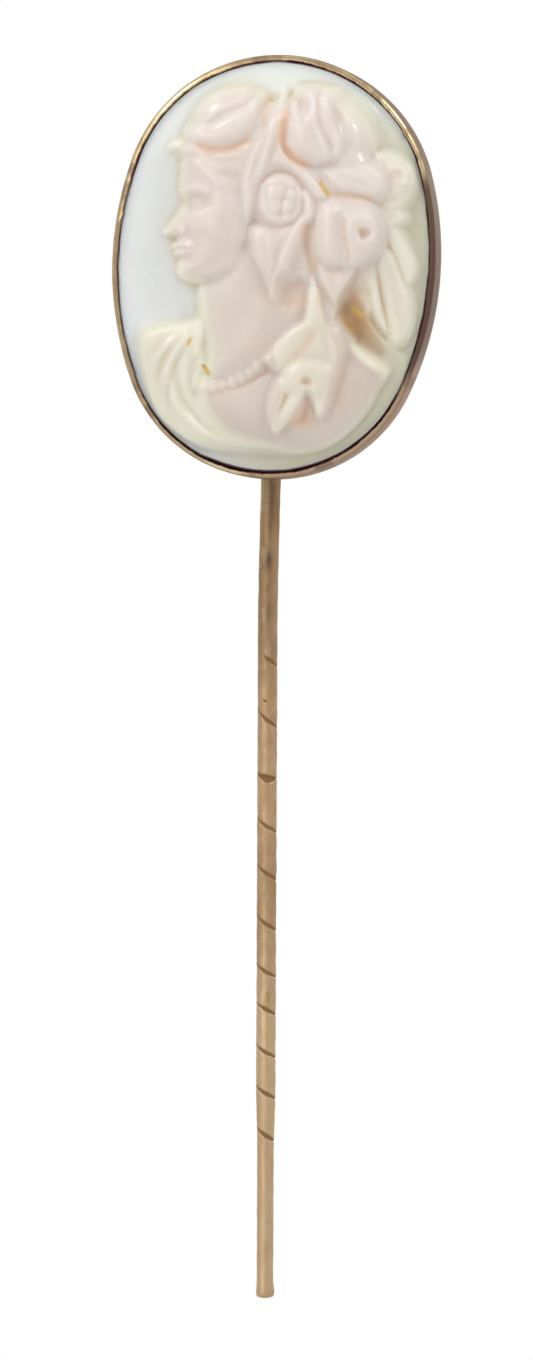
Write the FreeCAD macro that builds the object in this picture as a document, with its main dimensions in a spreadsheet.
import FreeCAD, Part

import math
import os

import Sketcher
from FreeCAD import Placement, Rotation, Vector

# A stick pin: a carved oval cameo held in a closed-back metal collet, on a long round stem with a twisted grip.
# Row frame, millimetres: +Z runs up the stem to the head, the carving looks along -Y, and the origin is the
# centre of the stem's blunt tip. Every piece of the head is drawn in a frame of its own, x across, y up the
# oval and z towards the viewer from the rear face of the back plate, and is then placed on the stem.

DIMENSIONS = {
    # the head's outline is a four-arc oval: two equal side arcs, a top arc and a slightly tighter bottom arc
    "side_radius": 15.90,
    "half_width": 7.85,
    "top_radius": 7.475,
    "bottom_radius": 7.20,
    # where the head sits on the stem
    "head_height": 50.03,
    "head_offset": 0.51,
    "head_lean": 3.15,
    # the closed back and the collet wall with its lip burnished over the stone
    "plate_thickness": 0.40,
    "plate_edge": 0.12,
    "solder_film": 0.05,
    "wall_thickness": 0.26,
    "wall_taper": 0.06,
    "shoulder_height": 3.45,
    "lip_height": 3.95,
    "lip_curl": 0.17,
    "lip_reach": 0.38,
    # the ledge that the stone rests on, and the packing inside it
    "ledge_height": 2.20,
    "ledge_thickness": 0.50,
    "packing_height": 2.14,
    # the stone
    "stone_gap": 0.02,
    "ground_edge": 3.80,
    "ground_inset": 0.50,
    "ground_crown": 0.55,
    "relief_height": 2.35,
    # the stem: a plain end, a twisted grip, a plain shank that bends slightly, and a flat behind the head
    "tip_flare": 0.445,
    "tip_flare_height": 0.18,
    "tip_length": 0.42,
    "end_radius": 0.41,
    "end_length": 7.40,
    "grip_radius": 0.485,
    "grip_start": 9.60,
    "bend_height": 32.60,
    "bend_radius": 120.0,
    "bend_lean": 1.30,
    "stem_top": 52.60,
    "flat_depth": 0.30,
    "flat_clearance": 0.04,
    "flat_cutter_width": 6.00,
    "flat_cutter_thickness": 2.00,
    "flat_cutter_height": 20.00,
    # the twist: a single left-handed groove whose pitch shortens towards the tip
    "twist_top": 30.90,
    "twist_turns": 10.20,
    "twist_pitch_top": 2.78,
    "twist_pitch_bottom": 1.83,
    "groove_width": 0.22,
    "groove_depth": 0.09,
    # the solder that holds the stem to the back plate
    "fillet_width": 0.42,
    "fillet_height": 0.34,
    "fillet_length": 13.00,
    "fillet_end": 0.70,
}

doc = FreeCAD.newDocument("stick_pin")
sheet = doc.addObject("Spreadsheet::Sheet", "dims")
for row, (alias, value) in enumerate(DIMENSIONS.items(), start=1):
    sheet.set(f"A{row}", alias)
    sheet.set(f"B{row}", str(value))
    sheet.setAlias(f"B{row}", alias)
doc.recompute()


def dim(alias):
    """The value of one driving dimension, in millimetres or degrees."""
    return float(sheet.get(alias))


def new_body(label):
    body = doc.addObject("PartDesign::Body", label)
    body.Label = label
    return body


def origin_plane(body, role):
    return next(f for f in body.Origin.OriginFeatures if f.Role == role)


def new_sketch(body, name, role, offset="0"):
    """A sketch on one of the body's origin planes, moved along that plane's normal by an expression."""
    sketch = body.newObject("Sketcher::SketchObject", name)
    sketch.AttachmentSupport = [(origin_plane(body, role), "")]
    sketch.MapMode = "FlatFace"
    sketch.setExpression("AttachmentOffset.Base.z", offset)
    return sketch


def name_size(sketch, constraint, name, expression):
    """Adds a dimension to the sketch and binds it to the sheet."""
    index = sketch.addConstraint(constraint)
    sketch.renameConstraint(index, name)
    sketch.setExpression(f"Constraints.{name}", expression)


def tangent_oval(inset=0.0):
    """The oval's centres and radii, for a copy of the outline set in from the head's edge."""
    side_centre = dim("side_radius") - dim("half_width")
    top_centre = math.sqrt((dim("side_radius") - dim("top_radius")) ** 2 - side_centre**2)
    bottom_centre = math.sqrt((dim("side_radius") - dim("bottom_radius")) ** 2 - side_centre**2)
    radii = [dim(name) - inset for name in ("side_radius", "top_radius", "bottom_radius")]
    return side_centre, top_centre, bottom_centre, *radii


def oval_sketch(body, name, inset="0", height="0"):
    """The head's outline, set in by one expression and lifted by another."""
    sketch = new_sketch(body, name, "XY_Plane", height)
    side_centre, top_centre, bottom_centre, side, top, bottom = tangent_oval(0.2)
    up = math.atan2(top_centre, side_centre)
    down = math.atan2(-bottom_centre, side_centre)
    z = Vector(0, 0, 1)

    def arc(x, y, radius, start, end):
        return sketch.addGeometry(Part.ArcOfCircle(Part.Circle(Vector(x, y, 0), z, radius), start, end), False)

    right = arc(-side_centre, 0, side, down, up)
    crown = arc(0, top_centre, top, up, math.pi - up)
    left = arc(side_centre, 0, side, math.pi - up, math.pi - down)
    foot = arc(0, -bottom_centre, bottom, math.pi - down, 2 * math.pi + down)
    start, end, centre = 1, 2, 3
    x_axis, y_axis = -1, -2
    sketch.addConstraint(Sketcher.Constraint("PointOnObject", right, centre, x_axis))
    sketch.addConstraint(Sketcher.Constraint("PointOnObject", crown, centre, y_axis))
    sketch.addConstraint(Sketcher.Constraint("PointOnObject", foot, centre, y_axis))
    sketch.addConstraint(Sketcher.Constraint("Tangent", right, end, crown, start))
    sketch.addConstraint(Sketcher.Constraint("Tangent", foot, end, right, start))
    sketch.addConstraint(Sketcher.Constraint("Horizontal", crown, start, crown, end))
    sketch.addConstraint(Sketcher.Constraint("Horizontal", foot, start, foot, end))
    sketch.addConstraint(Sketcher.Constraint("Coincident", left, start, crown, end))
    sketch.addConstraint(Sketcher.Constraint("Coincident", left, end, foot, start))
    sketch.addConstraint(Sketcher.Constraint("Equal", left, right))
    name_size(sketch, Sketcher.Constraint("Radius", right, side), "side", f"dims.side_radius - ({inset})")
    name_size(
        sketch,
        Sketcher.Constraint("DistanceX", right, centre, -1, 1, side_centre),
        "side_centre",
        "dims.side_radius - dims.half_width",
    )
    for arc_id, label, sign in ((crown, "top", 1), (foot, "bottom", -1)):
        reach = f"(dims.side_radius - dims.{label}_radius)^2 - (dims.side_radius - dims.half_width)^2"
        points = (-1, 1, arc_id, centre) if sign > 0 else (arc_id, centre, -1, 1)
        offset = top_centre if sign > 0 else bottom_centre
        name_size(
            sketch, Sketcher.Constraint("DistanceY", *points, offset), f"{label}_centre", f"sqrt({reach})"
        )
    return sketch


def feature(body, kind, name, **settings):
    made = body.newObject(f"PartDesign::{kind}", name)
    for key, value in settings.items():
        setattr(made, key, value)
    return made


def pad(body, sketch, length, name="pad"):
    made = feature(body, "Pad", name, Profile=sketch)
    made.setExpression("Length", length)
    return made


def pocket(body, sketch, length, name="pocket"):
    """Cuts towards +z from the sketch, which lies on the underside of what it cuts."""
    made = feature(body, "Pocket", name, Profile=sketch, Reversed=True)
    made.setExpression("Length", length)
    return made


def loft(body, kind, name, sections):
    """A ruled loft through ovals, each given as (inset expression, height expression)."""
    sketches = [
        oval_sketch(body, f"{name}_{i}", inset, height) for i, (inset, height) in enumerate(sections)
    ]
    return feature(body, kind, name, Profile=sketches[0], Sections=sketches[1:], Ruled=True)


# ---- the head ----


def back_plate():
    body = new_body("back_plate")
    plate = pad(body, oval_sketch(body, "plate_outline"), "dims.plate_thickness")
    doc.recompute()
    rear = [
        f"Edge{i}"
        for i, edge in enumerate(plate.Shape.Edges, start=1)
        if all(abs(v.Point.z) < 1e-6 for v in edge.Vertexes)
    ]
    rounded = feature(body, "Fillet", "rounded_edge", Base=(plate, rear))
    rounded.setExpression("Radius", "dims.plate_edge")
    return body


def collet_solder():
    """The film of solder between the wall and the back plate."""
    body = new_body("collet_solder")
    base = "dims.plate_thickness"
    pad(body, oval_sketch(body, "film_outside", "dims.wall_taper / 2", base), "dims.solder_film")
    pocket(body, oval_sketch(body, "film_inside", "dims.wall_thickness", base), "dims.solder_film")
    return body


def collet():
    """The wall, drawn in slightly towards the front, with its top edge curled over the stone."""
    body = new_body("collet")
    foot = "dims.plate_thickness + dims.solder_film"
    loft(
        body,
        "AdditiveLoft",
        "wall",
        [
            ("0", foot),
            ("dims.wall_taper", "dims.shoulder_height"),
            ("dims.wall_taper + dims.lip_curl * 0.35", "dims.lip_height - 0.16"),
            ("dims.wall_taper + dims.lip_curl", "dims.lip_height"),
        ],
    )
    loft(
        body,
        "SubtractiveLoft",
        "hollow",
        [
            ("dims.wall_thickness", foot),
            ("dims.wall_thickness", "dims.shoulder_height"),
            ("dims.lip_reach", "dims.ground_edge"),
            ("dims.lip_reach - 0.03", "dims.lip_height"),
        ],
    )
    return body


def bearing_ledge():
    body = new_body("bearing_ledge")
    base = "dims.plate_thickness"
    height = "dims.ledge_height - dims.plate_thickness"
    pad(body, oval_sketch(body, "ledge_outside", "dims.wall_thickness", base), height)
    inner = "dims.wall_thickness + dims.ledge_thickness"
    pocket(body, oval_sketch(body, "ledge_inside", inner, base), height)
    return body


def packing():
    body = new_body("packing")
    inner = "dims.wall_thickness + dims.ledge_thickness"
    pad(
        body,
        oval_sketch(body, "packing_outline", inner, "dims.plate_thickness"),
        "dims.packing_height - dims.plate_thickness",
    )
    return body


# The relief's masses: centre x and y, then half length and half width, all as shares of the head's half width,
# the turn in degrees, and the share of the relief's height that the mass reaches.
RELIEF_MASSES = {
    "skull": (-0.10, 0.40, 0.50, 0.42, 15, 0.84),
    "face": (-0.37, 0.22, 0.40, 0.24, 84, 0.80),
    "nose": (-0.60, 0.15, 0.09, 0.06, 70, 0.52),
    "jaw": (-0.27, -0.02, 0.24, 0.13, 25, 0.72),
    "neck": (-0.04, -0.42, 0.44, 0.24, 98, 0.62),
    "bust": (-0.02, -0.88, 0.70, 0.32, -2, 0.58),
    "drapery": (-0.58, -0.70, 0.34, 0.17, 62, 0.42),
    "left_rose": (-0.33, 0.84, 0.30, 0.21, 15, 0.86),
    "right_rose": (0.25, 0.84, 0.22, 0.22, 0, 0.88),
    "crown_curls": (0.60, 0.60, 0.20, 0.17, -35, 0.62),
    "side_rose": (0.48, 0.20, 0.24, 0.24, 0, 0.90),
    "temple_rose": (0.04, 0.37, 0.13, 0.13, 0, 0.90),
    "trailing_ribbon": (0.79, 0.00, 0.36, 0.11, 98, 0.50),
    "lappet": (0.24, -0.24, 0.26, 0.10, 86, 0.80),
    "strap": (0.26, -0.50, 0.20, 0.12, 10, 0.72),
    "leaf": (0.10, 0.02, 0.26, 0.08, 70, 0.86),
    "corsage": (0.24, -0.73, 0.17, 0.16, 0, 0.74),
}
# Blooms that carry a ring of petals round a button: the number of petals and the turn of the first.
BLOOMS = {"left_rose": (6, 10), "right_rose": (5, 40), "side_rose": (6, 0), "corsage": (5, 20)}
# The necklace hangs in an arc over the bust: its ends and its lowest point, as shares of the half width.
NECKLACE = {"left": (-0.46, -0.72), "right": (0.02, -0.70), "sag": 0.12, "beads": 8, "radius": 0.026}


def mass_height(x, y):
    """How high the carved masses stand over the ground's edge at a point given in shares of the half width."""
    best = 0.0
    for cx, cy, length, width, turn, share in RELIEF_MASSES.values():
        angle = math.radians(turn)
        along = (x - cx) * math.cos(angle) + (y - cy) * math.sin(angle)
        across = (y - cy) * math.cos(angle) - (x - cx) * math.sin(angle)
        inside = 1 - (along / length) ** 2 - (across / width) ** 2
        if inside > 0:
            reach = dim("ground_crown") + dim("relief_height") * share
            best = max(best, reach * math.sqrt(inside))
    return best


def knob(name, x, y, radius, sink):
    """A ball let into the relief's surface; position, radius and sink are shares of the half width."""
    scale = dim("half_width")
    ball = doc.addObject("Part::Sphere", name)
    ball.setExpression("Radius", f"dims.half_width * {radius}")
    height = dim("ground_edge") + mass_height(x, y) - sink * scale
    ball.Placement = Placement(Vector(x * scale, y * scale, height), Rotation())
    return ball


def bloom(name):
    """A ring of petals and a button on one of the round masses."""
    cx, cy, length, width, turn, _ = RELIEF_MASSES[name]
    count, first = BLOOMS[name]
    knobs = [knob(f"{name}_button", cx, cy, width * 0.30, width * 0.12)]
    for i in range(count):
        angle = math.radians(first + 360 * i / count)
        along, across = 0.62 * length * math.cos(angle), 0.62 * width * math.sin(angle)
        lie = math.radians(turn)
        x = cx + along * math.cos(lie) - across * math.sin(lie)
        y = cy + along * math.sin(lie) + across * math.cos(lie)
        knobs.append(knob(f"{name}_petal{i}", x, y, width * 0.40, width * 0.26))
    return knobs


def necklace():
    beads = []
    (x0, y0), (x1, y1) = NECKLACE["left"], NECKLACE["right"]
    for i in range(NECKLACE["beads"]):
        share = i / (NECKLACE["beads"] - 1)
        x = x0 + (x1 - x0) * share
        y = y0 + (y1 - y0) * share - NECKLACE["sag"] * 4 * share * (1 - share)
        beads.append(knob(f"bead{i}", x, y, NECKLACE["radius"], 0.0))
    return beads


def relief_mass(name):
    x, y, length, width, turn, share = RELIEF_MASSES[name]
    scale = dim("half_width")
    mass = doc.addObject("Part::Ellipsoid", f"mass_{name}")
    mass.setExpression("Radius1", f"dims.ground_crown + dims.relief_height * {share}")
    mass.setExpression("Radius2", f"dims.half_width * {length}")
    mass.setExpression("Radius3", f"dims.half_width * {width}")
    base = Vector(x * scale, y * scale, dim("ground_edge"))
    mass.Placement = Placement(base, Rotation(Vector(0, 0, 1), turn))
    return mass


def cameo():
    """The stone: a flat-backed oval with a bevelled girdle, a gently crowned ground and the carved masses."""
    blank = new_body("cameo_blank")
    girdle = "dims.wall_thickness + dims.stone_gap"
    loft(
        blank,
        "AdditiveLoft",
        "girdle",
        [
            (girdle, "dims.ledge_height"),
            (girdle, "dims.shoulder_height - dims.stone_gap"),
            ("dims.ground_inset", "dims.ground_edge"),
        ],
    )
    ground = doc.addObject("Part::Ellipsoid", "cameo_ground")
    ground.setExpression("Radius1", "dims.ground_crown")
    ground.setExpression("Radius2", "dims.half_width * 1.30 - dims.ground_inset")
    ground.setExpression("Radius3", "dims.half_width - dims.ground_inset")
    ground.Placement = Placement(Vector(0, -0.25, dim("ground_edge")), Rotation(Vector(0, 0, 1), 90))
    masses = [relief_mass(name) for name in RELIEF_MASSES]
    for name in BLOOMS:
        masses += bloom(name)
    masses += necklace()
    proud = doc.addObject("Part::MultiFuse", "relief_proud")
    proud.Shapes = [ground, *masses]
    limit = new_body("relief_limit")
    limit_outline = oval_sketch(limit, "limit_outline", "dims.ground_inset + 0.04", "dims.ground_edge - 0.02")
    pad(limit, limit_outline, "dims.ground_crown + dims.relief_height + 1")
    relief = doc.addObject("Part::Common", "relief")
    relief.Base = proud
    relief.Tool = limit
    carved = doc.addObject("Part::MultiFuse", "cameo")
    carved.Label = "cameo"
    carved.Shapes = [blank, relief]
    return carved


# ---- the stem ----


def twist_path():
    """Points down the groove's centreline: left-handed, from the front of the stem, closing up as it goes."""
    top, turns = dim("twist_top"), dim("twist_turns")
    first, last = dim("twist_pitch_top"), dim("twist_pitch_bottom")
    steps_per_turn = 12
    radius = dim("grip_radius")
    points = []
    for step in range(int(turns * steps_per_turn) + 1):
        turn = step / steps_per_turn
        angle = 2 * math.pi * turn - math.pi / 2
        height = top - first * turn + (first - last) / (2 * turns) * turn**2
        points.append(Vector(radius * math.cos(angle), radius * math.sin(angle), height))
    return points


def groove():
    """A V cutter swept down the twist. Its pitch varies, which no helix feature can do."""
    points = twist_path()
    curve = Part.BSplineCurve()
    curve.interpolate(points)
    spine = Part.Wire([curve.toShape()])
    start = points[0]
    outward = Vector(start.x, start.y, 0).normalize()
    half = Vector(0, 0, dim("groove_width") / 2)
    clear = 0.06
    spread = half * (1 + clear / dim("groove_depth"))
    mouth = start + outward * clear
    corners = [mouth + spread, start - outward * dim("groove_depth"), mouth - spread]
    profile = Part.makePolygon(corners + [corners[0]])
    shell = Part.BRepOffsetAPI.MakePipeShell(spine)
    shell.setBiNormalMode(Vector(0, 0, 1))
    shell.add(profile)
    shell.build()
    shell.makeSolid()
    cutter = doc.addObject("Part::Feature", "groove_cutter")
    cutter.Shape = shell.shape()
    return cutter


def stem_profile(body):
    """Half of the stem's section from the tip to the bend, for turning about the stem's axis."""
    sketch = new_sketch(body, "stem_profile", "XZ_Plane")
    outline = [
        ("0", "0"),
        ("dims.tip_flare * 0.62", "0"),
        ("dims.tip_flare", "dims.tip_flare_height"),
        ("dims.end_radius", "dims.tip_length"),
        ("dims.end_radius", "dims.end_length"),
        ("dims.grip_radius", "dims.grip_start"),
        ("dims.grip_radius", "dims.bend_height"),
        ("0", "dims.bend_height"),
    ]
    values = [
        (0, 0),
        (dim("tip_flare") * 0.62, 0),
        (dim("tip_flare"), dim("tip_flare_height")),
        (dim("end_radius"), dim("tip_length")),
        (dim("end_radius"), dim("end_length")),
        (dim("grip_radius"), dim("grip_start")),
        (dim("grip_radius"), dim("bend_height")),
        (0, dim("bend_height")),
    ]
    count = len(values)
    for i, (x, y) in enumerate(values):
        nx, ny = values[(i + 1) % count]
        sketch.addGeometry(Part.LineSegment(Vector(x, y, 0), Vector(nx, ny, 0)), False)
    for i in range(count):
        sketch.addConstraint(Sketcher.Constraint("Coincident", i, 2, (i + 1) % count, 1))
    for i, (x, y) in enumerate(outline):
        px, py = values[i]
        if x == "0":
            sketch.addConstraint(Sketcher.Constraint("PointOnObject", i, 1, -2))
        else:
            name_size(sketch, Sketcher.Constraint("DistanceX", -1, 1, i, 1, px), f"x{i}", x)
        if y == "0":
            sketch.addConstraint(Sketcher.Constraint("PointOnObject", i, 1, -1))
        else:
            name_size(sketch, Sketcher.Constraint("DistanceY", -1, 1, i, 1, py), f"y{i}", y)
    return sketch


def shank_path():
    """The plain shank above the grip: a short arc into a straight run that leans towards +X."""
    lean = math.radians(dim("bend_lean"))
    radius = dim("bend_radius")
    base = Vector(0, 0, dim("bend_height"))
    centre = base + Vector(radius, 0, 0)
    middle = centre + Vector(-radius * math.cos(lean / 2), 0, radius * math.sin(lean / 2))
    end = centre + Vector(-radius * math.cos(lean), 0, radius * math.sin(lean))
    along = Vector(math.sin(lean), 0, math.cos(lean))
    top = end + along * ((dim("stem_top") - end.z) / math.cos(lean))
    return Part.Wire([Part.Arc(base, middle, end).toShape(), Part.LineSegment(end, top).toShape()]), along, top


def stem():
    """One drawn wire: the turned lower length, the bent shank above it, a flat filed where it meets the plate."""
    lower = new_body("stem_lower")
    turned = feature(lower, "Revolution", "turned", Profile=stem_profile(lower))
    turned.ReferenceAxis = (turned.Profile[0], ["V_Axis"])
    turned.Angle = 360
    path, along, top = shank_path()
    radius = dim("grip_radius")
    circle = Part.Wire([Part.Circle(Vector(0, 0, dim("bend_height")), Vector(0, 0, 1), radius).toShape()])
    shank = doc.addObject("Part::Feature", "shank")
    shank.Shape = path.makePipeShell([circle], True, False)
    crown = doc.addObject("Part::Sphere", "shank_end")
    crown.setExpression("Radius", "dims.grip_radius")
    crown.Placement = Placement(top, Rotation())
    whole = doc.addObject("Part::MultiFuse", "stem_wire")
    whole.Shapes = [lower, shank, crown]
    flat = doc.addObject("Part::Box", "flat_cutter")
    flat.setExpression("Length", "dims.flat_cutter_width")
    flat.setExpression("Width", "dims.flat_cutter_thickness")
    flat.setExpression("Height", "dims.flat_cutter_height")
    lower_edge = head_frame().multVec(Vector(0, -oval_foot(), 0)).z
    corner = Vector(
        -dim("flat_cutter_width") / 2,
        -dim("flat_cutter_thickness") - dim("flat_depth"),
        lower_edge - dim("flat_clearance"),
    )
    flat.Placement = Placement(corner, Rotation())
    tools = doc.addObject("Part::MultiFuse", "stem_cutters")
    tools.Shapes = [groove(), flat]
    made = doc.addObject("Part::Cut", "stem")
    made.Label = "stem"
    made.Base = whole
    made.Tool = tools
    return made


def oval_foot():
    """How far the outline's lowest point lies below its centre."""
    side_centre, _, bottom_centre, _, _, bottom = tangent_oval()
    return bottom_centre + bottom


def stem_solder(stem_made):
    """The solder that has run along both sides of the stem and round its end, on the back plate."""
    lean = math.radians(dim("bend_lean"))
    top = dim("stem_top") + dim("grip_radius") + dim("fillet_end")
    middle_height = top - dim("fillet_length") / 2
    across = math.tan(lean) * (middle_height - dim("bend_height") - dim("bend_radius") * lean / 2)
    middle = Vector(across, -dim("flat_depth"), middle_height)
    blank = doc.addObject("Part::Ellipsoid", "solder_blank")
    blank.setExpression("Radius1", "dims.fillet_height")
    blank.setExpression("Radius2", "dims.grip_radius + dims.fillet_width")
    blank.setExpression("Radius3", "dims.fillet_length / 2")
    blank.Angle1 = 0
    turn = Rotation(Vector(0, 1, 0), dim("bend_lean"))
    blank.Placement = Placement(middle, turn.multiply(Rotation(Vector(1, 0, 0), -90)))
    made = doc.addObject("Part::Cut", "stem_solder")
    made.Label = "stem_solder"
    made.Base = blank
    made.Tool = stem_made
    return made


# ---- placing and writing ----


def head_frame():
    """The placement that stands the head's own frame up on the stem, leaning towards +X."""
    upright = Rotation(Vector(1, 0, 0), 90)
    lean = Rotation(Vector(0, 1, 0), dim("head_lean"))
    base = Vector(dim("head_offset"), -dim("flat_depth"), dim("head_height"))
    return Placement(base, lean.multiply(upright))


def check(made):
    for thing in doc.Objects:
        if {"Invalid", "Error"} & set(thing.State):
            raise RuntimeError(f"{thing.Label} failed: {thing.State}")
    for part in made:
        if part.Shape.isNull() or not part.Shape.isValid():
            raise RuntimeError(f"{part.Label} is not a valid shape")


head_parts = [back_plate(), collet_solder(), collet(), bearing_ledge(), packing(), cameo()]
for part in head_parts:
    part.Placement = head_frame()
stem_part = stem()
parts = head_parts + [stem_part, stem_solder(stem_part)]
doc.recompute()
check(parts)
os.makedirs("parts", exist_ok=True)
for part in parts:
    part.Shape.exportStep(f"parts/{part.Label}.step")
    print(part.Label, round(part.Shape.Volume, 3), len(part.Shape.Solids), part.Shape.BoundBox)
